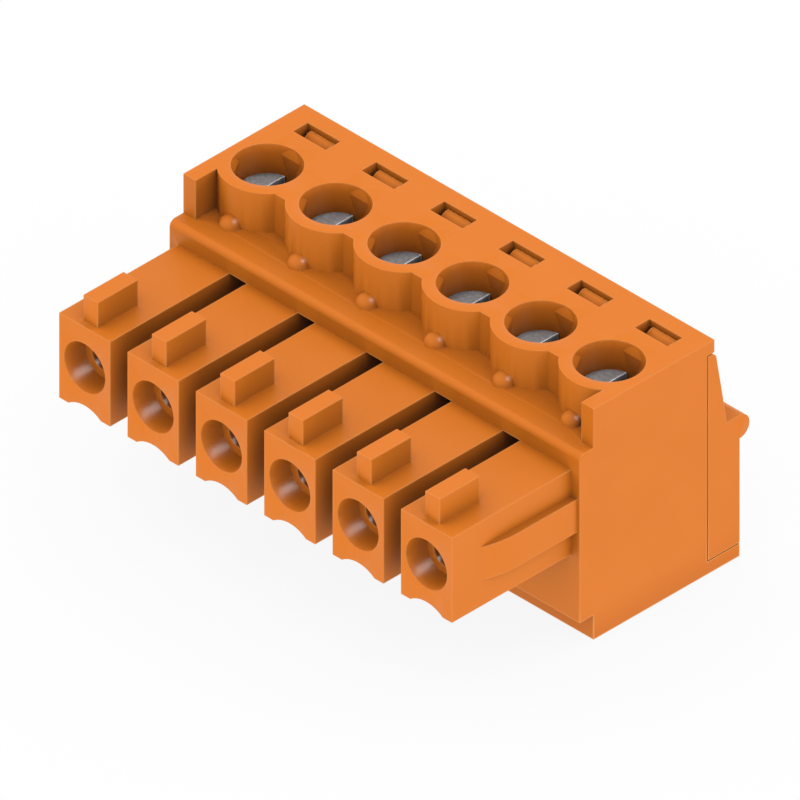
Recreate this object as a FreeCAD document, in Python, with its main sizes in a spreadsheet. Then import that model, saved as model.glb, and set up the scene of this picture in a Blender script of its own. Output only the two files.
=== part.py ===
import FreeCAD, Part
import os
from types import SimpleNamespace

import Sketcher

# Pluggable terminal block: a six-pole screw-clamp plug for a pin header.
# Frame, in millimetres: X runs along the row of poles, -Y is the mating side with the
# fingers, +Y is the wire side and +Z is up. The origin lies on the bottom face, in the
# middle of the row, under the screw axes.

# Driving dimensions: name, value in millimetres (or a count), and what it is
SIZES = [
    ("poles", 6, "number of poles"),
    ("pitch", 3.81, "distance from pole to pole"),
    # Housing block
    ("body_height", 11.1, "bottom face to top face"),
    ("front_reach", 2.785, "screw axis to the front of the block"),
    ("collar_reach", 0.77, "collar in front of the block"),
    ("collar_low", 1.17, "bottom of the collar"),
    ("ledge_height", 9.22, "top of the collar, which is the ledge"),
    ("ledge_round", 0.3, "rounding of the front edge of the ledge"),
    ("rear_reach", 3.55, "screw axis to the rear of the side walls"),
    ("plate_reach", 3.955, "screw axis to the rear edge of the top plate"),
    ("plate_thick", 0.6, "top plate behind the wells"),
    ("heel_reach", 5.355, "screw axis to the rear edge of the bottom lip"),
    ("heel_thick", 0.6, "bottom lip under the wire cover"),
    ("pillar_wide", 0.68, "corner pillar on the ledge"),
    ("land_reach", 1.21, "screw axis to the wall between two scallops"),
    ("scallop_wall", 0.56, "wall between a well and its scallop"),
    ("bump_radius", 0.48, "bump on the ledge"),
    ("bump_stand", 0.045, "centre of the bump in front of the scallop"),
    # Screw wells and latch windows in the top
    ("well_radius", 1.455, "mouth of a screw well"),
    ("well_taper", 1.2, "depth of the tapered mouth"),
    ("well_flat", 1.3, "screw axis to each of the three flats in the well"),
    ("flat_top", 0.42, "depth at which the flats begin"),
    ("flat_slope", 0.36, "height of the slope above the flats"),
    ("slope_run", 0.15, "how far the slope leans back over that height"),
    ("flat_root", 0.3, "mouth of a well to the root of the flats in its wall"),
    ("window_wide", 1.82, "latch window along the row"),
    ("window_deep", 0.82, "latch window across the row"),
    ("window_front", 2.335, "screw axis to the front of the window"),
    # Fingers
    ("socket_height", 6.37, "bottom face to the axis of the sockets"),
    ("finger_wide", 2.84, "finger along the row"),
    ("finger_below", 2.13, "socket axis to the underside of the finger"),
    ("finger_above", 1.95, "socket axis to the top of the finger"),
    ("finger_long", 6.64, "finger in front of the collar"),
    ("gap_deep", 1.5, "recess behind the collar front, between two fingers"),
    ("mouth_radius", 1.15, "funnel at the front face"),
    ("mouth_deep", 1.0, "depth of the funnel"),
    ("throat_radius", 0.93, "inner end of the funnel"),
    ("bore_radius", 0.57, "hole for the pin"),
    ("bore_long", 0.4, "length of the pin hole behind the funnel"),
    ("socket_wide", 1.94, "cavity for the contact, along the row"),
    ("socket_half", 1.42, "cavity above and below the socket axis"),
    ("groove_radius", 1.48, "round groove under a finger"),
    ("groove_deep", 0.31, "depth of that groove"),
    ("tab_wide", 0.8, "coding tab along the row"),
    ("tab_tall", 1.2, "coding tab above the finger"),
    ("tab_long", 2.23, "coding tab along the finger"),
    ("tab_back", 0.337, "front face of the finger to the tab"),
    ("rib_proud", 0.355, "side rib beyond the end finger"),
    ("rib_back", 1.59, "front face of the finger to the side rib"),
    ("rib_ramp", 1.715, "length of the curved ramp of the rib"),
    ("rib_below", 0.88, "socket axis to the bottom of the rib"),
    ("rib_above", 0.71, "socket axis to the top of the rib"),
    # Clamp screws
    ("head_sink", 1.26, "top face to the top of a screw head"),
    ("head_radius", 1.25, "screw head"),
    ("head_thick", 1.0, "height of the screw head"),
    ("slot_wide", 0.46, "screwdriver slot"),
    ("slot_deep", 0.55, "depth of the slot"),
    ("shank_radius", 0.97, "screw shank over its thread"),
    # Clamp yokes
    ("yoke_wide", 2.7, "yoke along the row"),
    ("yoke_deep", 2.8, "yoke across the row"),
    ("yoke_roof", 0.9, "threaded top of the yoke"),
    ("yoke_floor", 0.5, "floor of the yoke under the wire"),
    ("yoke_side", 0.33, "side walls of the yoke, clear of the screw"),
    ("yoke_travel", 1.6, "lift from open to closed: four turns of a 0.4 mm thread"),
    ("jaw_gap", 0.2, "yoke floor to the contact bar when closed"),
    ("grip_deep", 0.12, "grip grooves in the yoke floor"),
    ("grip_pitch", 0.7, "distance between the grip grooves"),
    # Contacts
    ("sheet_thick", 0.45, "sheet that the contact is bent from"),
    ("bend_radius", 0.5, "outer radius of the bends"),
    ("cheek_tall", 2.55, "cheek of the contact above the cavity floor"),
    ("cheek_long", 3.0, "length of the cheeks"),
    ("cheek_front", 2.55, "front end of the cavity to the cheeks"),
    ("bar_wide", 1.6, "contact bar along the row"),
    ("bar_reach", 1.75, "screw axis to the rear end of the bar"),
    ("arm_tall", 1.5, "spring arm height, about the socket axis"),
    ("arm_short", 0.12, "front end of the cavity to the arms"),
    ("nip_gap", 0.6, "free gap between the arms for the pin"),
    ("nip_back", 0.75, "front end of the arms to the nip"),
    ("nip_half", 0.15, "half length of the nip"),
    ("lead_gap", 1.08, "gap between the arms at their front ends"),
    ("lead_thick", 0.36, "thickness of the coined front end of an arm"),
    # Wire cover
    ("cover_front_top", 3.885, "screw axis to the chamfer at the top of the cover"),
    ("cover_chamfer", 0.17, "chamfer at the top of the cover"),
    ("slope_foot", 4.665, "screw axis to the foot of the sloped face"),
    ("ridge_height", 6.75, "top of the ridge above the wire entries"),
    ("ridge_radius", 0.55, "round nose of the ridge"),
    ("ridge_reach", 5.365, "screw axis to the rear face of the cover"),
    ("funnel_half", 1.5, "half width of the wire funnel at the rear face"),
    ("funnel_deep", 1.1, "depth of the wire funnel"),
    ("wire_half", 0.95, "half width of the square wire passage"),
    ("nozzle_wide", 2.6, "wire guide along the row"),
    ("nozzle_reach", 1.95, "screw axis to the front end of the wire guides"),
    ("nozzle_above", 1.3, "wire axis to the top of the wire guides"),
    ("latch_wide", 1.3, "latch of the cover along the row"),
    ("latch_thick", 0.5, "latch arm"),
    ("nose_sink", 0.23, "top face to the top of the latch nose"),
    ("nose_flat", 0.16, "flat top of the latch nose"),
    ("nose_round", 0.9, "rounded ramp of the latch nose"),
    # Clearances
    ("seam", 0.05, "gap between cover and housing, and beside the contacts"),
    ("slide_gap", 0.1, "gap round a yoke, a wire guide and a latch"),
    ("hole_gap", 0.08, "shank in the hole of the housing"),
    ("thread_gap", 0.03, "shank in the hole of the yoke"),
    ("head_gap", 0.06, "screw head in the well"),
    ("tip_gap", 0.05, "end of the shank to the contact bar"),
]


class Size:
    """A length worked out from the sheet, with the expression that ties it to the cells."""

    def __init__(self, value, text):
        self.value = value
        self.text = text

    def __add__(self, other):
        other = as_size(other)
        return Size(self.value + other.value, f"({self.text} + {other.text})")

    def __sub__(self, other):
        other = as_size(other)
        return Size(self.value - other.value, f"({self.text} - {other.text})")

    def __mul__(self, other):
        other = as_size(other)
        return Size(self.value * other.value, f"({self.text} * {other.text})")

    def __truediv__(self, other):
        other = as_size(other)
        return Size(self.value / other.value, f"({self.text} / {other.text})")

    def __neg__(self):
        return Size(-self.value, f"(0 - {self.text})")

    def __rsub__(self, other):
        return as_size(other) - self

    __radd__ = __add__
    __rmul__ = __mul__


def as_size(number):
    """A plain number as a size of its own."""
    return number if isinstance(number, Size) else Size(number, str(number))


def root(size):
    """The square root of a size."""
    return Size(size.value**0.5, f"sqrt({size.text})")


def fill_sheet(doc):
    """Write the driving dimensions into the sheet and return them by name."""
    sheet = doc.addObject("Spreadsheet::Sheet", "Sizes")
    for row, (name, value, meaning) in enumerate(SIZES, start=1):
        sheet.set(f"A{row}", name)
        sheet.set(f"B{row}", str(value))
        sheet.set(f"C{row}", meaning)
        sheet.setAlias(f"B{row}", name)
    doc.recompute()
    return SimpleNamespace(**{name: Size(value, f"Sizes.{name}") for name, value, _ in SIZES})


def bind(thing, prop, size):
    """Tie a property to the sheet, or set it where the size is a plain number."""
    thing.setExpression(prop, as_size(size).text)


# Sketches: a sketch lies on a plane of its own body. Its normal is +Z on XY, -Y on XZ
# and +X on YZ, and every pad and pocket grows along that normal.


def origin_feature(body, role):
    """An axis or plane of the body's own origin."""
    return next(item for item in body.Origin.OriginFeatures if item.Role == role)


def add_sketch(body, name, plane, place, shift=(0, 0)):
    """A sketch on the given plane, moved to a place along X, Y or Z and shifted in itself."""
    sketch = body.newObject("Sketcher::SketchObject", name)
    sketch.AttachmentSupport = [(origin_feature(body, plane + "_Plane"), "")]
    sketch.MapMode = "FlatFace"
    along = -as_size(place) if plane == "XZ" else place
    bind(sketch, "AttachmentOffset.Base.x", shift[0])
    bind(sketch, "AttachmentOffset.Base.y", shift[1])
    bind(sketch, "AttachmentOffset.Base.z", along)
    return sketch


def tie(sketch, kind, geometry, point, size):
    """One dimension of a sketch, tied to the sheet."""
    size = as_size(size)
    if kind == "Radius":
        index = sketch.addConstraint(Sketcher.Constraint(kind, geometry, size.value))
    else:
        index = sketch.addConstraint(Sketcher.Constraint(kind, geometry, point, size.value))
    bind(sketch, f"Constraints[{index}]", size)


def point_of(corner):
    """The corner as a vector in the sketch."""
    return FreeCAD.Vector(as_size(corner[0]).value, as_size(corner[1]).value, 0)


def arc_between(start, end, radius, turn):
    """The short arc from start to end, anticlockwise (turn 1) or clockwise (turn -1)."""
    first, last = (start, end) if turn > 0 else (end, start)
    chord = last - first
    outward = FreeCAD.Vector(chord.y, -chord.x, 0).normalize()
    centre_depth = max(radius**2 - (chord.Length / 2) ** 2, 0) ** 0.5
    return Part.Arc(first, (first + last) / 2 + outward * (radius - centre_depth), last)


def outline(sketch, corners):
    """A closed outline. A corner is (x, y), or (x, y, radius, turn) where an arc leaves it."""
    edges = []
    for here, after in zip(corners, corners[1:] + corners[:1]):
        start, end = point_of(here), point_of(after)
        if len(here) == 2:
            edges.append((sketch.addGeometry(Part.LineSegment(start, end)), 1, 2))
            continue
        radius, turn = here[2:]
        arc = arc_between(start, end, as_size(radius).value, turn)
        ends = (1, 2) if turn > 0 else (2, 1)
        edges.append((sketch.addGeometry(arc), *ends))
    for edge, following in zip(edges, edges[1:] + edges[:1]):
        joint = Sketcher.Constraint("Coincident", edge[0], edge[2], following[0], following[1])
        sketch.addConstraint(joint)
    for corner, edge in zip(corners, edges):
        tie(sketch, "DistanceX", edge[0], edge[1], corner[0])
        tie(sketch, "DistanceY", edge[0], edge[1], corner[1])
        if len(corner) > 2:
            tie(sketch, "Radius", edge[0], None, corner[2])


def rectangle(sketch, left, right, low, high):
    """An upright rectangle."""
    outline(sketch, [(left, low), (right, low), (right, high), (left, high)])


def disc(sketch, across, up, radius):
    """A circle about the given point."""
    centre = FreeCAD.Vector(as_size(across).value, as_size(up).value, 0)
    circle = Part.Circle(centre, FreeCAD.Vector(0, 0, 1), as_size(radius).value)
    edge = sketch.addGeometry(circle)
    tie(sketch, "DistanceX", edge, 3, across)
    tie(sketch, "DistanceY", edge, 3, up)
    tie(sketch, "Radius", edge, None, radius)


# Features


def volume_of(body):
    """The volume of the body so far."""
    return 0 if body.Shape.isNull() else body.Shape.Volume


def check_change(body, feature, before, adds):
    """Recompute, and stop if the feature did not add or remove material as it should."""
    body.Document.recompute()
    change = volume_of(body) - before
    if change * (1 if adds else -1) < 1e-6:
        raise RuntimeError(f"{feature.Label} changed the volume by {change:.6f}")


def extrude(body, name, sketch, length, adds=True):
    """A pad or a pocket that grows along the normal of its sketch."""
    before = volume_of(body)
    feature = body.newObject("PartDesign::Pad" if adds else "PartDesign::Pocket", name)
    feature.Profile = sketch
    feature.Reversed = not adds
    bind(feature, "Length", length)
    check_change(body, feature, before, adds)
    return feature


def revolve(body, name, sketch, axis, adds=True):
    """A full turn of the sketch about its H_Axis or V_Axis."""
    before = volume_of(body)
    kind = "PartDesign::Revolution" if adds else "PartDesign::Groove"
    feature = body.newObject(kind, name)
    feature.Profile = sketch
    feature.ReferenceAxis = (sketch, [axis])
    feature.Angle = 360
    check_change(body, feature, before, adds)
    return feature


def lean_in(feature, wide, narrow, depth):
    """Let the walls of a pad or pocket lean in, from half width wide to half width narrow."""
    slope = (wide - narrow) / depth
    feature.setExpression("TaperAngle", f"-atan({slope.text})")
    feature.Document.recompute()


def repeat(body, name, features, axis, span, count):
    """Copies of the features in a line over the given span."""
    pattern = body.newObject("PartDesign::LinearPattern", name)
    pattern.Originals = features
    pattern.Direction = (origin_feature(body, axis + "_Axis"), [""])
    bind(pattern, "Length", span)
    bind(pattern, "Occurrences", count)
    body.Tip = pattern
    body.Document.recompute()
    return pattern


def mirror(body, name, features):
    """The features mirrored to the other side of the row's middle."""
    mirrored = body.newObject("PartDesign::Mirrored", name)
    mirrored.Originals = features
    mirrored.MirrorPlane = (origin_feature(body, "YZ_Plane"), [""])
    body.Tip = mirrored
    body.Document.recompute()
    return mirrored


def new_body(doc, name, across=0):
    """An empty body whose place along the row is tied to the sheet."""
    body = doc.addObject("PartDesign::Body", name)
    body.Label = name
    bind(body, "Placement.Base.x", across)
    return body


# Places that several pieces share


def shared_places(s):
    """Heights and reaches that more than one piece is built from."""
    at = SimpleNamespace()
    at.half_row = s.pitch * s.poles / 2
    at.first_pole = -(s.pitch * (s.poles - 1) / 2)
    at.pole_span = s.pitch * (s.poles - 1)
    at.plate_low = s.body_height - s.plate_thick
    at.collar_front = -(s.front_reach + s.collar_reach)
    at.finger_front = at.collar_front - s.finger_long
    at.finger_low = s.socket_height - s.finger_below
    at.finger_high = s.socket_height + s.finger_above
    at.throat = at.finger_front + s.mouth_deep
    at.socket_front = at.throat + s.bore_long
    at.window_rear = s.window_front + s.window_deep
    # The contact lies on the floor of its cavity
    at.bar_low = s.socket_height - s.socket_half
    at.bar_high = at.bar_low + s.sheet_thick
    # The screw hangs in the well, its end just above the bar
    at.head_high = s.body_height - s.head_sink
    at.head_low = at.head_high - s.head_thick
    at.tip = at.bar_high + s.tip_gap
    # The yoke is modelled open, at its lowest
    at.jaw_low = at.bar_low - s.jaw_gap - s.yoke_travel
    at.yoke_low = at.jaw_low - s.yoke_floor
    at.roof_low = at.bar_high + s.slide_gap
    at.yoke_high = at.roof_low + s.yoke_roof
    at.wire_height = (at.bar_low + at.jaw_low) / 2
    # The chamber leaves room for the yoke's travel
    at.chamber_half = s.yoke_wide / 2 + s.slide_gap / 2
    at.chamber_front = -(s.yoke_deep / 2 + s.slide_gap)
    at.chamber_low = at.yoke_low - s.slide_gap
    at.ceiling = at.yoke_high + s.yoke_travel + s.slide_gap
    # The cover closes the rear
    at.cover_front = s.rear_reach + s.seam
    at.cover_low = s.heel_thick + s.seam
    at.cover_high = at.plate_low - s.seam
    at.latch_high = at.plate_low - s.slide_gap
    at.latch_low = at.latch_high - s.latch_thick
    at.latch_pocket_low = at.latch_low - s.slide_gap
    at.latch_front = s.window_front + s.slide_gap
    at.latch_pocket_front = s.window_front - s.slide_gap
    return at


# Housing


def block_section(sketch, s, at):
    """Side view of the block with its collar, top plate and bottom lip."""
    outline(
        sketch,
        [
            (-s.front_reach, 0),
            (s.heel_reach, 0),
            (s.heel_reach, s.heel_thick),
            (s.rear_reach, s.heel_thick),
            (s.rear_reach, at.plate_low),
            (s.plate_reach, at.plate_low),
            (s.plate_reach, s.body_height),
            (-s.front_reach, s.body_height),
            (-s.front_reach, s.ledge_height),
            (at.collar_front + s.ledge_round, s.ledge_height, s.ledge_round, 1),
            (at.collar_front, s.ledge_height - s.ledge_round),
            (at.collar_front, s.collar_low),
            (-s.front_reach, s.collar_low),
        ],
    )


def add_finger(body, s, at):
    """One finger with its coding tab and the groove along its underside."""
    pole = at.first_pole
    sketch = add_sketch(body, "FingerSection", "XZ", at.collar_front, (pole, 0))
    rectangle(sketch, -s.finger_wide / 2, s.finger_wide / 2, at.finger_low, at.finger_high)
    finger = extrude(body, "Finger", sketch, s.finger_long)

    sketch = add_sketch(body, "TabPlan", "XY", at.finger_high, (pole, 0))
    tab_front = at.finger_front + s.tab_back
    rectangle(sketch, -s.tab_wide / 2, s.tab_wide / 2, tab_front, tab_front + s.tab_long)
    tab = extrude(body, "CodingTab", sketch, s.tab_tall)

    sketch = add_sketch(body, "GrooveSection", "XZ", at.collar_front, (pole, 0))
    disc(sketch, 0, at.finger_low + s.groove_deep - s.groove_radius, s.groove_radius)
    groove = extrude(body, "Groove", sketch, s.finger_long, adds=False)
    return [finger, tab, groove]


def add_gap(body, s, at):
    """The recess between the first two fingers, which runs on behind the collar front."""
    rear = at.collar_front + s.gap_deep
    sketch = add_sketch(body, "GapSection", "XZ", rear, (at.first_pole, 0))
    left, right = s.finger_wide / 2, s.pitch - s.finger_wide / 2
    rectangle(sketch, left, right, at.finger_low, at.finger_high)
    return extrude(body, "Gap", sketch, s.gap_deep, adds=False)


def add_scallop(body, s, at):
    """The round wall in front of one well, with the bump at its foot."""
    pole = at.first_pole
    radius = s.well_radius + s.scallop_wall
    chord = root(radius * radius - s.land_reach * s.land_reach)
    sketch = add_sketch(body, "ScallopPlan", "XY", s.ledge_height, (pole, 0))
    outline(sketch, [(-chord, -s.land_reach, radius, 1), (chord, -s.land_reach)])
    scallop = extrude(body, "Scallop", sketch, s.body_height - s.ledge_height)

    bump_centre = -(radius + s.bump_stand)
    sketch = add_sketch(body, "BumpSection", "YZ", pole, (bump_centre, s.ledge_height))
    outline(sketch, [(0, 0), (s.bump_radius, 0, s.bump_radius, 1), (0, s.bump_radius)])
    bump = revolve(body, "Bump", sketch, "V_Axis")
    return [scallop, bump]


def add_chamber(body, s, at):
    """The clamp chamber, the contact cavity and the pin mouth of one pole."""
    pole = at.first_pole
    sketch = add_sketch(body, "ChamberSection", "XZ", s.rear_reach, (pole, 0))
    rectangle(sketch, -at.chamber_half, at.chamber_half, at.chamber_low, at.ceiling)
    chamber = extrude(body, "Chamber", sketch, s.rear_reach - at.chamber_front, adds=False)

    sketch = add_sketch(body, "SocketSection", "XZ", 0, (pole, s.socket_height))
    rectangle(sketch, -s.socket_wide / 2, s.socket_wide / 2, -s.socket_half, s.socket_half)
    socket = extrude(body, "Socket", sketch, -at.socket_front, adds=False)

    sketch = add_sketch(body, "MouthSection", "YZ", pole, (0, s.socket_height))
    outline(
        sketch,
        [
            (at.finger_front, 0),
            (at.socket_front, 0),
            (at.socket_front, s.bore_radius),
            (at.throat, s.bore_radius),
            (at.throat, s.throat_radius),
            (at.finger_front, s.mouth_radius),
        ],
    )
    mouth = revolve(body, "Mouth", sketch, "H_Axis", adds=False)
    return [chamber, socket, mouth]


def flat_plan(body, name, height, s, at):
    """Plan of the three flats of one well, each bounded inside the wall by an arc."""
    outer = s.well_radius + s.flat_root
    half = root(outer * outer - s.well_flat * s.well_flat)
    lean = root(as_size(3)) / 2
    sketch = add_sketch(body, name, "XY", height, (at.first_pole, 0))
    for way, side in ((0, 1), (-lean, -0.5), (lean, -0.5)):
        middle = (s.well_flat * way, s.well_flat * side)
        first = (middle[0] + half * side, middle[1] - half * way)
        last = (middle[0] - half * side, middle[1] + half * way)
        outline(sketch, [(*first, outer, 1), last])
    return sketch


def add_well(body, s, at):
    """The screw well of one pole, with three flats that guide the head."""
    top = s.body_height
    seat_radius = s.head_radius + s.head_gap
    hole_radius = s.shank_radius + s.hole_gap
    sketch = add_sketch(body, "WellSection", "YZ", at.first_pole)
    outline(
        sketch,
        [
            (0, at.ceiling),
            (hole_radius, at.ceiling),
            (hole_radius, at.head_low),
            (seat_radius, at.head_low),
            (seat_radius, top - s.well_taper),
            (s.well_radius, top),
            (0, top),
        ],
    )
    well = revolve(body, "Well", sketch, "V_Axis", adds=False)

    # Each flat ends in a slope that leans back into the wall
    flat_high = top - s.flat_top
    sketch = flat_plan(body, "FlatPlan", at.head_low, s, at)
    flats = extrude(body, "WellFlats", sketch, flat_high - at.head_low)
    sketch = flat_plan(body, "SlopePlan", flat_high, s, at)
    slopes = extrude(body, "FlatSlopes", sketch, s.flat_slope)
    lean_in(slopes, s.slope_run, 0, s.flat_slope)
    return [well, flats, slopes]


def add_window(body, s, at):
    """The latch window in the top plate and the latch pocket below it."""
    pole = at.first_pole
    half = s.window_wide / 2
    sketch = add_sketch(body, "WindowPlan", "XY", at.plate_low, (pole, 0))
    rectangle(sketch, -half, half, s.window_front, at.window_rear)
    window = extrude(body, "Window", sketch, s.plate_thick, adds=False)

    sketch = add_sketch(body, "LatchPocketSection", "XZ", s.rear_reach, (pole, 0))
    rectangle(sketch, -half, half, at.latch_pocket_low, at.plate_low)
    depth = s.rear_reach - at.latch_pocket_front
    pocket = extrude(body, "LatchPocket", sketch, depth, adds=False)
    return [window, pocket]


def add_side_rib(body, s, at):
    """The guide rib on the outer side of an end finger."""
    side = s.finger_wide / 2 - at.first_pole
    start = at.finger_front + s.rib_back
    ramp_radius = (s.rib_ramp * s.rib_ramp + s.rib_proud * s.rib_proud) / s.rib_proud / 2
    sketch = add_sketch(body, "RibPlan", "XY", s.socket_height - s.rib_below)
    outline(
        sketch,
        [
            (side, start, ramp_radius, 1),
            (side + s.rib_proud, start + s.rib_ramp),
            (side + s.rib_proud, at.collar_front),
            (side, at.collar_front),
        ],
    )
    return extrude(body, "SideRib", sketch, s.rib_below + s.rib_above)


def build_housing(doc, s, at):
    """The one-piece housing."""
    body = new_body(doc, "housing")
    sketch = add_sketch(body, "BlockSection", "YZ", -at.half_row)
    block_section(sketch, s, at)
    extrude(body, "Block", sketch, at.half_row * 2)

    sketch = add_sketch(body, "LedgePlan", "XY", s.ledge_height)
    inner = at.half_row - s.pillar_wide
    rectangle(sketch, -inner, inner, -s.front_reach, -s.land_reach)
    extrude(body, "LedgeCut", sketch, s.body_height - s.ledge_height, adds=False)

    pole_features = []
    for add in (add_finger, add_scallop, add_chamber, add_well, add_window):
        pole_features += add(body, s, at)
    repeat(body, "Poles", pole_features, "X", at.pole_span, s.poles)
    gap_span = at.pole_span - s.pitch
    repeat(body, "Gaps", [add_gap(body, s, at)], "X", gap_span, s.poles - 1)
    mirror(body, "BothRibs", [add_side_rib(body, s, at)])
    return body


# Wire cover


def cover_section(sketch, s, at):
    """Side view of the cover: sloped back, ridge with a round nose, and rear face."""
    radius = s.ridge_radius
    nose_middle = s.ridge_height - radius
    outline(
        sketch,
        [
            (at.cover_front, at.cover_low),
            (s.ridge_reach, at.cover_low),
            (s.ridge_reach, nose_middle - radius, radius, 1),
            (s.ridge_reach + radius, nose_middle, radius, 1),
            (s.ridge_reach, s.ridge_height),
            (s.slope_foot, s.ridge_height),
            (s.cover_front_top + s.cover_chamfer, at.cover_high - s.cover_chamfer),
            (s.cover_front_top, at.cover_high),
            (at.cover_front, at.cover_high),
        ],
    )


def add_wire_entry(body, s, at):
    """The wire guide of one pole, with its funnel."""
    pole = at.first_pole
    half = s.nozzle_wide / 2
    sketch = add_sketch(body, "NozzleSection", "XZ", at.cover_front, (pole, 0))
    low = at.chamber_low + s.slide_gap
    rectangle(sketch, -half, half, low, at.wire_height + s.nozzle_above)
    nozzle = extrude(body, "Nozzle", sketch, at.cover_front - s.nozzle_reach)

    funnel_front = s.ridge_reach - s.funnel_deep
    sketch = add_sketch(body, "PassageSection", "XZ", funnel_front, (pole, at.wire_height))
    rectangle(sketch, -s.wire_half, s.wire_half, -s.wire_half, s.wire_half)
    length = funnel_front - s.nozzle_reach
    passage = extrude(body, "Passage", sketch, length, adds=False)

    sketch = add_sketch(body, "FunnelSection", "XZ", s.ridge_reach, (pole, at.wire_height))
    rectangle(sketch, -s.funnel_half, s.funnel_half, -s.funnel_half, s.funnel_half)
    funnel = extrude(body, "Funnel", sketch, s.funnel_deep, adds=False)
    lean_in(funnel, s.funnel_half, s.wire_half, s.funnel_deep)
    return [nozzle, passage, funnel]


def add_latch(body, s, at):
    """The snap latch of one pole: a short arm whose nose stands in the window."""
    sketch = add_sketch(body, "LatchSection", "YZ", at.first_pole - s.latch_wide / 2)
    catch = at.window_rear - s.seam
    nose_high = s.body_height - s.nose_sink
    outline(
        sketch,
        [
            (at.latch_front, at.latch_low),
            (s.cover_front_top, at.latch_low),
            (s.cover_front_top, at.latch_high),
            (catch, at.latch_high),
            (catch, nose_high),
            (catch - s.nose_flat, nose_high, s.nose_round, 1),
            (at.latch_front, at.latch_high),
        ],
    )
    return [extrude(body, "Latch", sketch, s.latch_wide)]


def build_cover(doc, s, at):
    """The wire cover, which snaps onto the rear of the housing."""
    body = new_body(doc, "wire_cover")
    sketch = add_sketch(body, "CoverSection", "YZ", -at.half_row)
    cover_section(sketch, s, at)
    extrude(body, "Cover", sketch, at.half_row * 2)
    features = add_wire_entry(body, s, at) + add_latch(body, s, at)
    repeat(body, "Entries", features, "X", at.pole_span, s.poles)
    return body


# Clamp screw, clamp yoke and contact of one pole


def build_screw(doc, name, across, s, at):
    """A slotted clamp screw. Its fine thread is left off the shank."""
    body = new_body(doc, name, across)
    sketch = add_sketch(body, "ScrewSection", "YZ", 0)
    outline(
        sketch,
        [
            (0, at.tip),
            (s.shank_radius, at.tip),
            (s.shank_radius, at.head_low),
            (s.head_radius, at.head_low),
            (s.head_radius, at.head_high),
            (0, at.head_high),
        ],
    )
    revolve(body, "Turned", sketch, "V_Axis")

    sketch = add_sketch(body, "SlotSection", "XZ", s.head_radius)
    half = s.slot_wide / 2
    rectangle(sketch, -half, half, at.head_high - s.slot_deep, at.head_high)
    extrude(body, "Slot", sketch, s.head_radius * 2, adds=False)
    return body


def build_yoke(doc, name, across, s, at):
    """A clamp yoke: a closed frame round the contact bar, with the screw through its roof."""
    body = new_body(doc, name, across)
    half = s.yoke_wide / 2
    inside = half - s.yoke_side
    sketch = add_sketch(body, "FrameSection", "XZ", s.yoke_deep / 2)
    rectangle(sketch, -half, half, at.yoke_low, at.yoke_high)
    rectangle(sketch, -inside, inside, at.jaw_low, at.roof_low)
    extrude(body, "Frame", sketch, s.yoke_deep)

    sketch = add_sketch(body, "TapPlan", "XY", at.roof_low)
    disc(sketch, 0, 0, s.shank_radius + s.thread_gap)
    extrude(body, "Tap", sketch, s.yoke_roof, adds=False)

    sketch = add_sketch(body, "GripSection", "YZ", -inside, (-s.grip_pitch, at.jaw_low))
    outline(sketch, [(-s.grip_deep, 0), (0, -s.grip_deep), (s.grip_deep, 0)])
    grip = extrude(body, "Grip", sketch, inside * 2, adds=False)
    repeat(body, "Grips", [grip], "Y", s.grip_pitch * 2, 3)
    return body


def cradle_section(sketch, s, at):
    """Front view of the bent cradle: a floor and two cheeks."""
    half = s.socket_wide / 2 - s.seam
    inner, bend = half - s.sheet_thick, s.bend_radius
    low, high = at.bar_low, at.bar_low + s.cheek_tall
    outline(
        sketch,
        [
            (-half + bend, low),
            (half - bend, low, bend, 1),
            (half, low + bend),
            (half, high),
            (inner, high),
            (inner, at.bar_high),
            (-inner, at.bar_high),
            (-inner, high),
            (-half, high),
            (-half, low + bend, bend, 1),
        ],
    )


def arm_plan(sketch, s, at):
    """Top view of the right-hand spring arm: it leans in to the nip and flares at its end."""
    outer = s.socket_wide / 2 - s.seam
    root_line = at.socket_front + s.cheek_front
    tip_line = at.socket_front + s.arm_short
    nip_line = tip_line + s.nip_back
    nip, lead, thick = s.nip_gap / 2, s.lead_gap / 2, s.sheet_thick
    outline(
        sketch,
        [
            (outer - thick, root_line),
            (nip, nip_line + s.nip_half),
            (nip, nip_line - s.nip_half),
            (lead, tip_line),
            (lead + s.lead_thick, tip_line),
            (nip + thick, nip_line - s.nip_half),
            (nip + thick, nip_line + s.nip_half),
            (outer, root_line),
        ],
    )


def build_contact(doc, name, across, s, at):
    """A contact bent from one strip: two spring arms, a cradle and the clamp bar."""
    body = new_body(doc, name, across)
    cradle_rear = at.socket_front + s.cheek_front + s.cheek_long
    sketch = add_sketch(body, "CradleSection", "XZ", cradle_rear)
    cradle_section(sketch, s, at)
    extrude(body, "Cradle", sketch, s.cheek_long)

    sketch = add_sketch(body, "BarPlan", "XY", at.bar_low)
    half_bar = s.bar_wide / 2
    rectangle(sketch, -half_bar, half_bar, cradle_rear, s.bar_reach)
    extrude(body, "Bar", sketch, s.sheet_thick)

    sketch = add_sketch(body, "ArmPlan", "XY", s.socket_height - s.arm_tall / 2)
    arm_plan(sketch, s, at)
    mirror(body, "BothArms", [extrude(body, "Arm", sketch, s.arm_tall)])
    return body


def check(doc, bodies):
    """Stop if any object failed or any piece is not one valid solid."""
    for item in doc.Objects:
        if {"Invalid", "Error"} & set(item.State):
            raise RuntimeError(f"{item.Label} failed: {item.State}")
    for body in bodies:
        shape = body.Shape
        if shape.isNull() or not shape.isValid() or len(shape.Solids) != 1:
            raise RuntimeError(f"{body.Label} is not one valid solid")


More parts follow.
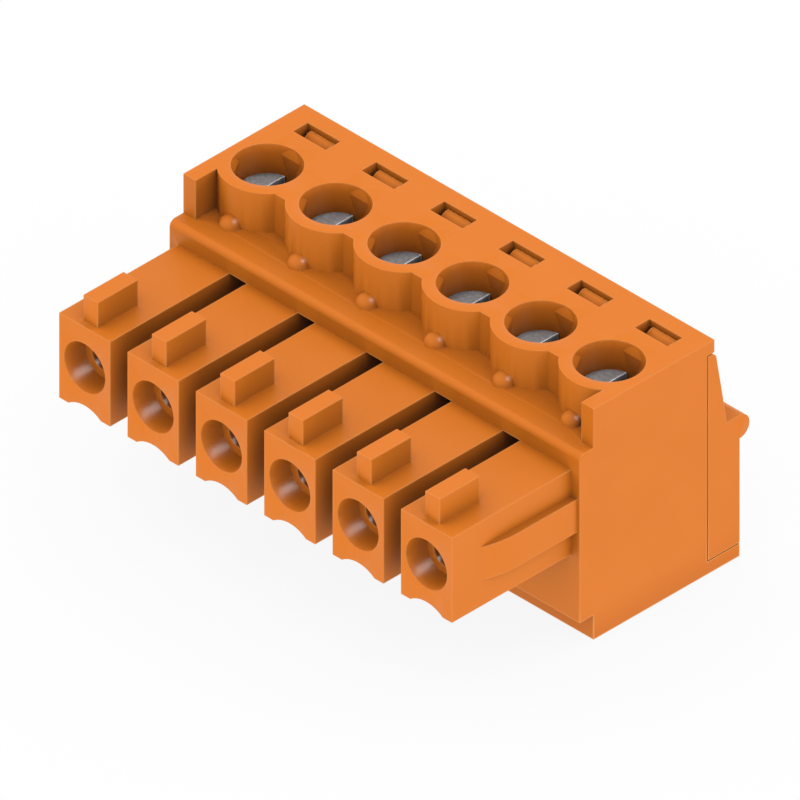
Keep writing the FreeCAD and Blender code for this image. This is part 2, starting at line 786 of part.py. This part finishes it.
def main():
    """Build every piece, check it and write it out."""
    doc = FreeCAD.newDocument("terminal_block")
    s = fill_sheet(doc)
    at = shared_places(s)
    bodies = [build_housing(doc, s, at), build_cover(doc, s, at)]
    for number in range(1, int(s.poles.value) + 1):
        across = at.first_pole + s.pitch * (number - 1)
        bodies.append(build_screw(doc, f"clamp_screw_{number}", across, s, at))
        bodies.append(build_yoke(doc, f"clamp_yoke_{number}", across, s, at))
        bodies.append(build_contact(doc, f"contact_{number}", across, s, at))
    doc.recompute()
    check(doc, bodies)
    os.makedirs("parts", exist_ok=True)
    for body in bodies:
        body.Shape.exportStep(f"parts/{body.Label}.step")


main()
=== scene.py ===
import math

import bmesh
import bpy
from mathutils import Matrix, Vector


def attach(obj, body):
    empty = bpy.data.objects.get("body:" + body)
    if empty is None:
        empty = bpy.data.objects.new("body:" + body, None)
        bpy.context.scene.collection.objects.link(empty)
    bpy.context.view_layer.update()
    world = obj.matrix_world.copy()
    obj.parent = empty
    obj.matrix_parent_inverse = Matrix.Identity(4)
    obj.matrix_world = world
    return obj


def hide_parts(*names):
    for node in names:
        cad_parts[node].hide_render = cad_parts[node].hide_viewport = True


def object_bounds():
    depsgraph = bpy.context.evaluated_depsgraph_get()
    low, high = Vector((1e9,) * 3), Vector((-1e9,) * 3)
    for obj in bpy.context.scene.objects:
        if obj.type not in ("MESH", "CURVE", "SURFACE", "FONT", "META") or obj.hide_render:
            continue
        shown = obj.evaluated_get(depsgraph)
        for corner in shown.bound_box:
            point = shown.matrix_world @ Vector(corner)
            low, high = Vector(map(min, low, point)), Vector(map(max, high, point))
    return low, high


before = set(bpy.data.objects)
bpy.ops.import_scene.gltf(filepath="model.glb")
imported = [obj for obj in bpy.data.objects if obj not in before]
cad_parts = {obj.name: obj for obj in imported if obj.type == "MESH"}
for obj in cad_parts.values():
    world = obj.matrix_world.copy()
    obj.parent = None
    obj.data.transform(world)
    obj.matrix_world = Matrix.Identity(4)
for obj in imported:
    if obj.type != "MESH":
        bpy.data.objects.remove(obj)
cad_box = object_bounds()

# The looks of a six-pole pluggable terminal block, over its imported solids.
# Lengths are in millimetres and become metres where a mesh is made.
MM = 0.001

# Row of poles
POLES = 6
PITCH = 3.81

# Meshes from the solids
SAME_PLACE = 0.0001
FLAT_ANGLE = math.radians(0.5)
EDGE_ROUND = 0.045
EDGE_ANGLE = math.radians(34)
ROUND_STEPS = 2
FLAT_WEIGHT = 80

# Flats of the screw wells
WELL_FLAT = 1.3
WELL_MOUTH = 1.455
WELL_CREASE = math.radians(4)
FLAT_REACH = 0.003
UPRIGHT = 0.001
SLOPE_RISE = (0.3, 0.5)

# Clamp screws
HEAD_LOW = 8.84
HEAD_BEVEL = 0.045
HEAD_MARGIN = 0.1
SHANK_END = 5.45
TIP_RADIUS = 0.62
TIP_TALL = 0.2
THREAD_CREST = 0.97
THREAD_ROOT = 0.8
THREAD_PITCH = 0.4
THREAD_PROFILE = [
    (0.0, THREAD_ROOT),
    (0.12, THREAD_ROOT),
    (0.45, THREAD_CREST),
    (0.6, THREAD_CREST),
]
TURN_STEPS = 32

# Colours in 0 to 255
PLASTIC_CLOUD = ((233, 127, 36), (236, 130, 40))
# The next two colours are painted shade, laid where the plastic is near walls and deep in
# recesses.
PLASTIC_PAINTED_WALL_SHADE = (218, 116, 33)
PLASTIC_PAINTED_DEEP_SHADE = (115, 60, 26)
# Paler edge colour: partly wear, partly a painted highlight along outer edges.
PLASTIC_WORN_AND_HIGHLIT = (248, 162, 90)
STEEL_SPECKLE = ((146, 147, 149), (172, 172, 174))
# Painted shade: darker steel laid into the screw slot and other recesses.
STEEL_PAINTED_SHADE = (84, 84, 88)
STEEL_WORN = (212, 212, 212)
TIN_CLOUD = ((176, 182, 192), (200, 205, 212))
COPPER_WORN = (214, 190, 160)
WHITE = (1, 1, 1, 1)

# Surfaces
EDGE_REACH = 0.08
RECESS_REACH = 3
SLOT_REACH = 0.6
OPENNESS_SAMPLES = 8
GRAIN_DEEP = 0.01

# Floor, light and camera
FLOOR_REACH = 600
FLOOR_GAP = 0.03
FLOOR_GLOW = 0.9
AZIMUTH = math.radians(45)
ELEVATION = math.radians(35.05)
VIEW_WIDTH = 31.53
CAMERA_AWAY = 200
CAMERA_NEAR, CAMERA_FAR = 10, 2000
SKY = 1.0
KEY_STRENGTH = 0.02
KEY_WAY = (0.3, -0.35, 0.89)
KEY_SPREAD = math.radians(40)
GLEAM_SPREAD = math.radians(32)
GLEAMS = [
    ("upper_gleam", 2.1, (0.6, 0.23, 0.74)),
    ("lower_gleam", 0.1, (0.91, 0.09, -0.4)),
]


def linear(colour):
    """A colour given in 0 to 255, as the linear numbers that a shader takes."""

    def channel(value):
        value /= 255
        return value / 12.92 if value <= 0.04045 else ((value + 0.055) / 1.055) ** 2.4

    return (*map(channel, colour), 1)


# Materials


def add_node(tree, kind, **inputs):
    """A shader node with its inputs set by name."""
    node = tree.nodes.new(kind)
    for name, value in inputs.items():
        node.inputs[name.replace("_", " ")].default_value = value
    return node


def new_material(name):
    """A material with a Principled shader. Returns the material, its tree and the shader."""
    material = bpy.data.materials.new(name)
    material.use_nodes = True
    tree = material.node_tree
    return material, tree, tree.nodes["Principled BSDF"]


def noise(tree, scale, detail=3):
    """Noise in the object's own space, in features per metre."""
    place = tree.nodes.new("ShaderNodeTexCoord")
    node = add_node(tree, "ShaderNodeTexNoise", Scale=scale, Detail=detail)
    tree.links.new(place.outputs["Object"], node.inputs["Vector"])
    return node.outputs["Fac"]


def spread(tree, source, low, high, start=0.3, end=0.7):
    """The source's values from start to end, spread over low to high."""
    node = tree.nodes.new("ShaderNodeMapRange")
    for name, value in (
        ("From Min", start),
        ("From Max", end),
        ("To Min", low),
        ("To Max", high),
    ):
        node.inputs[name].default_value = value
    tree.links.new(source, node.inputs["Value"])
    return node.outputs["Result"]


def blend_colours(tree, factor, first, second):
    """A mix of two colours, each a colour in 0 to 255 or a socket."""
    node = tree.nodes.new("ShaderNodeMix")
    node.data_type = "RGBA"
    tree.links.new(factor, node.inputs["Factor"])
    for socket, colour in ((node.inputs[6], first), (node.inputs[7], second)):
        if isinstance(colour, bpy.types.NodeSocket):
            tree.links.new(colour, socket)
        else:
            socket.default_value = linear(colour)
    return node.outputs[2]


def grain(tree, shader, scale, strength):
    """Fine bump, in features per metre."""
    node = add_node(tree, "ShaderNodeBump", Strength=strength, Distance=GRAIN_DEEP * MM)
    tree.links.new(noise(tree, scale, detail=4), node.inputs["Height"])
    tree.links.new(node.outputs["Normal"], shader.inputs["Normal"])


def openness(tree, reach, inside=False):
    """1 where nothing stands within the reach in millimetres, down to 0 deep in a recess."""
    node = add_node(tree, "ShaderNodeAmbientOcclusion", Distance=reach * MM)
    node.samples = OPENNESS_SAMPLES
    node.inside = inside
    return node.outputs["AO"]


def product(tree, first, second):
    """Two values multiplied."""
    node = tree.nodes.new("ShaderNodeMath")
    node.operation = "MULTIPLY"
    tree.links.new(first, node.inputs[0])
    tree.links.new(second, node.inputs[1])
    return node.outputs[0]


def edge_mask(tree):
    """1 along outer edges, fading to 0 on faces."""
    return spread(tree, openness(tree, EDGE_REACH, inside=True), 1, 0, start=0.55, end=0.95)


def moulded_plastic():
    """Orange polyamide: fine grain, painted shade darkening it near walls and deep in
    recesses, and outer edges paled partly as wear and partly as a painted highlight.
    """
    material, tree, shader = new_material("orange_polyamide")
    cloud = spread(tree, noise(tree, 260), 0, 1)
    body = blend_colours(tree, cloud, *PLASTIC_CLOUD)
    # Painted shade: the base colour darkens near walls and deep in recesses, by how open each
    # point is.
    clear = openness(tree, RECESS_REACH)
    off_wall = spread(tree, clear, 0, 1, start=0.45, end=0.8)
    near_wall_shade = blend_colours(tree, off_wall, PLASTIC_PAINTED_WALL_SHADE, body)
    off_bottom = spread(tree, clear, 0, 1, start=0, end=0.33)
    shaded = blend_colours(tree, off_bottom, PLASTIC_PAINTED_DEEP_SHADE, near_wall_shade)
    # Outer edges paled, partly as wear and partly as a painted highlight.
    sheltered = spread(tree, clear, 1, 0.3, start=0.7, end=0.95)
    edge_toned = blend_colours(tree, product(tree, edge_mask(tree), sheltered), shaded, PLASTIC_WORN_AND_HIGHLIT)
    tree.links.new(edge_toned, shader.inputs["Base Color"])
    tree.links.new(spread(tree, noise(tree, 900), 0.32, 0.4), shader.inputs["Roughness"])
    shader.inputs["Specular IOR Level"].default_value = 0.14
    grain(tree, shader, 9000, 0.25)
    return material


def turned_steel():
    """Zinc plated steel, matt and finely speckled, with painted shade darkening its slot and
    recesses and paler worn edges.
    """
    material, tree, shader = new_material("zinc_steel")
    shader.inputs["Metallic"].default_value = 0.35
    speckle = spread(tree, noise(tree, 7000, detail=5), 0, 1, start=0.35, end=0.65)
    plate = blend_colours(tree, speckle, *STEEL_SPECKLE)
    # Painted shade: the colour darkens in the slot and other recesses.
    clear = spread(tree, openness(tree, SLOT_REACH), 0, 1, start=0.3, end=0.8)
    shaded = blend_colours(tree, clear, STEEL_PAINTED_SHADE, plate)
    edge_toned = blend_colours(tree, edge_mask(tree), shaded, STEEL_WORN)
    tree.links.new(edge_toned, shader.inputs["Base Color"])
    tree.links.new(spread(tree, noise(tree, 3000), 0.42, 0.56), shader.inputs["Roughness"])
    grain(tree, shader, 12000, 0.25)
    return material


def tinned_copper():
    """Tin plated contact strip, dull grey, with copper showing along its edges."""
    material, tree, shader = new_material("tinned_copper")
    shader.inputs["Metallic"].default_value = 0.6
    cloud = spread(tree, noise(tree, 1200), 0, 1)
    plate = blend_colours(tree, cloud, *TIN_CLOUD)
    edge_toned = blend_colours(tree, edge_mask(tree), plate, COPPER_WORN)
    tree.links.new(edge_toned, shader.inputs["Base Color"])
    tree.links.new(spread(tree, noise(tree, 2600), 0.3, 0.45), shader.inputs["Roughness"])
    grain(tree, shader, 10000, 0.2)
    return material


# Pieces


def put_in_scene(name, mesh, material, body, node):
    """A piece that stands for one CAD node and rides on its body."""
    piece = bpy.data.objects.new(name, mesh)
    bpy.context.scene.collection.objects.link(piece)
    mesh.materials.clear()
    mesh.materials.append(material)
    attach(piece, body)
    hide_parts(node)
    return piece


def merge_doubles(shape):
    """Join the corners that lie at the same place."""
    bmesh.ops.remove_doubles(shape, verts=shape.verts, dist=SAME_PLACE * MM)


def shape_of(node):
    """A CAD node's mesh with its flat faces joined again, in triangles and quads."""
    shape = bmesh.new()
    shape.from_mesh(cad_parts[node].data)
    merge_doubles(shape)
    bmesh.ops.dissolve_limit(
        shape, angle_limit=FLAT_ANGLE, verts=shape.verts, edges=shape.edges
    )
    many_sided = [face for face in shape.faces if len(face.verts) > 4]
    bmesh.ops.triangulate(shape, faces=many_sided)
    bmesh.ops.join_triangles(
        shape,
        faces=shape.faces,
        angle_face_threshold=FLAT_ANGLE,
        angle_shape_threshold=math.pi,
    )
    return shape


def smooth_mesh(name, shape):
    """A smooth shaded mesh made of the shape, which is freed."""
    mesh = bpy.data.meshes.new(name)
    shape.to_mesh(mesh)
    shape.free()
    mesh.shade_smooth()
    return mesh


def level_faces(piece):
    """Keep large faces flat and let the small ones between them carry the curve."""
    facing = piece.modifiers.new("facing", "WEIGHTED_NORMAL")
    facing.weight = FLAT_WEIGHT
    facing.mode = "FACE_AREA"
    facing.keep_sharp = True


def soften(name, shape, node, material, body):
    """A piece whose edges are rounded as moulding or stamping leaves them."""
    piece = put_in_scene(name, smooth_mesh(name, shape), material, body, node)
    rounding = piece.modifiers.new("rounding", "BEVEL")
    rounding.width = EDGE_ROUND * MM
    rounding.segments = ROUND_STEPS
    rounding.limit_method = "ANGLE"
    rounding.angle_limit = EDGE_ANGLE
    rounding.harden_normals = True
    rounding.miter_outer = "MITER_ARC"
    level_faces(piece)


def in_well_flat(face):
    """Whether the face belongs to a flat in a screw well or to the slope above it."""
    middle = face.calc_center_median() / MM
    pole = round(middle.x / PITCH + (POLES - 1) / 2) - (POLES - 1) / 2
    inward = Vector((pole * PITCH - middle.x, -middle.y, 0))
    if middle.z < HEAD_LOW or inward.length > WELL_MOUTH:
        return False
    if abs(face.normal.z) < UPRIGHT:
        return abs(inward.dot(face.normal) - WELL_FLAT) < FLAT_REACH
    gentle, steep = SLOPE_RISE
    return gentle < face.normal.z < steep


def crease_wells(shape):
    """Keep the shallow edges of the flats in the screw wells crisp."""
    for edge in shape.edges:
        if edge.calc_face_angle(0) > WELL_CREASE and any(map(in_well_flat, edge.link_faces)):
            edge.smooth = False


def add_thread(shape):
    """A helical thread from the head down to a chamfered end."""
    low, high = SHANK_END + TIP_TALL, HEAD_LOW
    turns = math.ceil((high - low) / THREAD_PITCH) + 1
    rows = turns * len(THREAD_PROFILE)

    def corner(step, radius, height):
        angle = 2 * math.pi * step / TURN_STEPS
        place = (radius * math.cos(angle), radius * math.sin(angle), height)
        return shape.verts.new([value * MM for value in place])

    def flank(step, row):
        turn, place = divmod(row, len(THREAD_PROFILE))
        share, radius = THREAD_PROFILE[place]
        height = low + THREAD_PITCH * (turn - 1 + share + step / TURN_STEPS)
        if not low < height < high:
            height, radius = min(max(height, low), high), THREAD_ROOT
        return corner(step, radius, height)

    columns = [[flank(step, row) for row in range(rows)] for step in range(TURN_STEPS + 1)]
    for left, right in zip(columns, columns[1:]):
        for row in range(rows - 1):
            shape.faces.new((left[row], right[row], right[row + 1], left[row + 1]))

    upper, lower = (
        [corner(step, radius, height) for step in range(TURN_STEPS)]
        for radius, height in ((THREAD_ROOT, low), (TIP_RADIUS, SHANK_END))
    )
    for step in range(TURN_STEPS):
        after = (step + 1) % TURN_STEPS
        shape.faces.new((lower[step], lower[after], upper[after], upper[step]))
    shape.faces.new(lower[::-1])


def close_ends(shape):
    """Fill the openings where the shape was cut or swept."""
    rims = [edge for edge in shape.edges if edge.is_boundary]
    bmesh.ops.holes_fill(shape, edges=rims)


def turned_screw(name, pole, material):
    """The slotted head of the CAD screw with a bevelled rim, on a threaded shank."""
    shape = shape_of(f"clamp_screw_{pole}")
    shank = [vert for vert in shape.verts if vert.co.z < (HEAD_LOW - HEAD_MARGIN) * MM]
    bmesh.ops.delete(shape, geom=shank, context="VERTS")
    close_ends(shape)
    rims = [
        edge
        for edge in shape.edges
        if edge.is_manifold and edge.calc_face_angle() > EDGE_ANGLE
    ]
    bmesh.ops.bevel(
        shape,
        geom=rims,
        offset=HEAD_BEVEL * MM,
        segments=ROUND_STEPS,
        profile=0.5,
        affect="EDGES",
    )
    thread = bmesh.new()
    add_thread(thread)
    merge_doubles(thread)
    close_ends(thread)
    across = (pole - (POLES + 1) / 2) * PITCH * MM
    bmesh.ops.translate(thread, verts=thread.verts, vec=(across, 0, 0))
    threaded = smooth_mesh(name + "_thread", thread)
    shape.from_mesh(threaded)
    mesh = smooth_mesh(name, shape)
    level_faces(put_in_scene(name, mesh, material, f"screw_{pole}", f"clamp_screw_{pole}"))


orange = moulded_plastic()
steel = turned_steel()
tinned = tinned_copper()

housing = shape_of("housing")
crease_wells(housing)
soften("housing_moulding", housing, "housing", orange, "block")
soften("cover_moulding", shape_of("wire_cover"), "wire_cover", orange, "block")
for pole in range(1, POLES + 1):
    turned_screw(f"screw_turned_{pole}", pole, steel)
    yoke, contact = f"clamp_yoke_{pole}", f"contact_{pole}"
    soften(f"yoke_bent_{pole}", shape_of(yoke), yoke, steel, f"yoke_{pole}")
    soften(f"contact_strip_{pole}", shape_of(contact), contact, tinned, "block")


# Floor, light and camera


def make_floor():
    """A pale floor that looks white and keeps a light shadow."""
    mesh = bpy.data.meshes.new("floor")
    reach, low = FLOOR_REACH * MM, -FLOOR_GAP * MM
    corners = [(-reach, -reach), (reach, -reach), (reach, reach), (-reach, reach)]
    mesh.from_pydata([(x, y, low) for x, y in corners], [], [(0, 1, 2, 3)])
    floor = bpy.data.objects.new("floor", mesh)
    bpy.context.scene.collection.objects.link(floor)

    material, tree, shader = new_material("pale_floor")
    shader.inputs["Base Color"].default_value = WHITE
    shader.inputs["Roughness"].default_value = 1
    shader.inputs["Specular IOR Level"].default_value = 0
    glow = add_node(tree, "ShaderNodeEmission", Strength=1.0)
    both = add_node(tree, "ShaderNodeMixShader", Fac=FLOOR_GLOW)
    tree.links.new(shader.outputs[0], both.inputs[1])
    tree.links.new(glow.outputs[0], both.inputs[2])
    tree.links.new(both.outputs[0], tree.nodes["Material Output"].inputs["Surface"])
    mesh.materials.append(material)


def add_lamp(name, strength, spread_angle, way):
    """A far lamp that shines from one way, as bright as a sky of that strength."""
    lamp = bpy.data.objects.new(name, bpy.data.lights.new(name, "SUN"))
    bpy.context.scene.collection.objects.link(lamp)
    lamp.data.energy = strength * math.pi
    lamp.data.angle = spread_angle
    lamp.rotation_euler = Vector(way).to_track_quat("Z", "Y").to_euler()
    return lamp


def make_light():
    """Even light from all round, as in a white tent, with a weak key lamp and gleams."""
    add_lamp("key_lamp", KEY_STRENGTH, KEY_SPREAD, KEY_WAY)
    for name, strength, way in GLEAMS:
        gleam = add_lamp(name, strength, GLEAM_SPREAD, way)
        gleam.visible_diffuse = False
        gleam.data.use_shadow = False
    world = bpy.data.worlds.new("tent")
    world.use_nodes = True
    sky = world.node_tree.nodes["Background"]
    sky.inputs["Color"].default_value = WHITE
    sky.inputs["Strength"].default_value = SKY
    bpy.context.scene.world = world


def make_camera():
    """The photograph's view: parallel lines, from above the right front corner."""
    low, high = cad_box
    camera = bpy.data.objects.new("camera", bpy.data.cameras.new("camera"))
    bpy.context.scene.collection.objects.link(camera)
    camera.data.type = "ORTHO"
    camera.data.ortho_scale = VIEW_WIDTH * MM
    back = Vector(
        (
            math.sin(AZIMUTH) * math.cos(ELEVATION),
            -math.cos(AZIMUTH) * math.cos(ELEVATION),
            math.sin(ELEVATION),
        )
    )
    camera.location = (low + high) / 2 + back * CAMERA_AWAY * MM
    camera.rotation_euler = (-back).to_track_quat("-Z", "Y").to_euler()
    camera.data.clip_start = CAMERA_NEAR * MM
    camera.data.clip_end = CAMERA_FAR * MM
    bpy.context.scene.camera = camera


make_floor()
make_light()
make_camera()
bpy.context.scene.view_settings.view_transform = "Standard"
bpy.context.scene.cycles.diffuse_bounces = 0
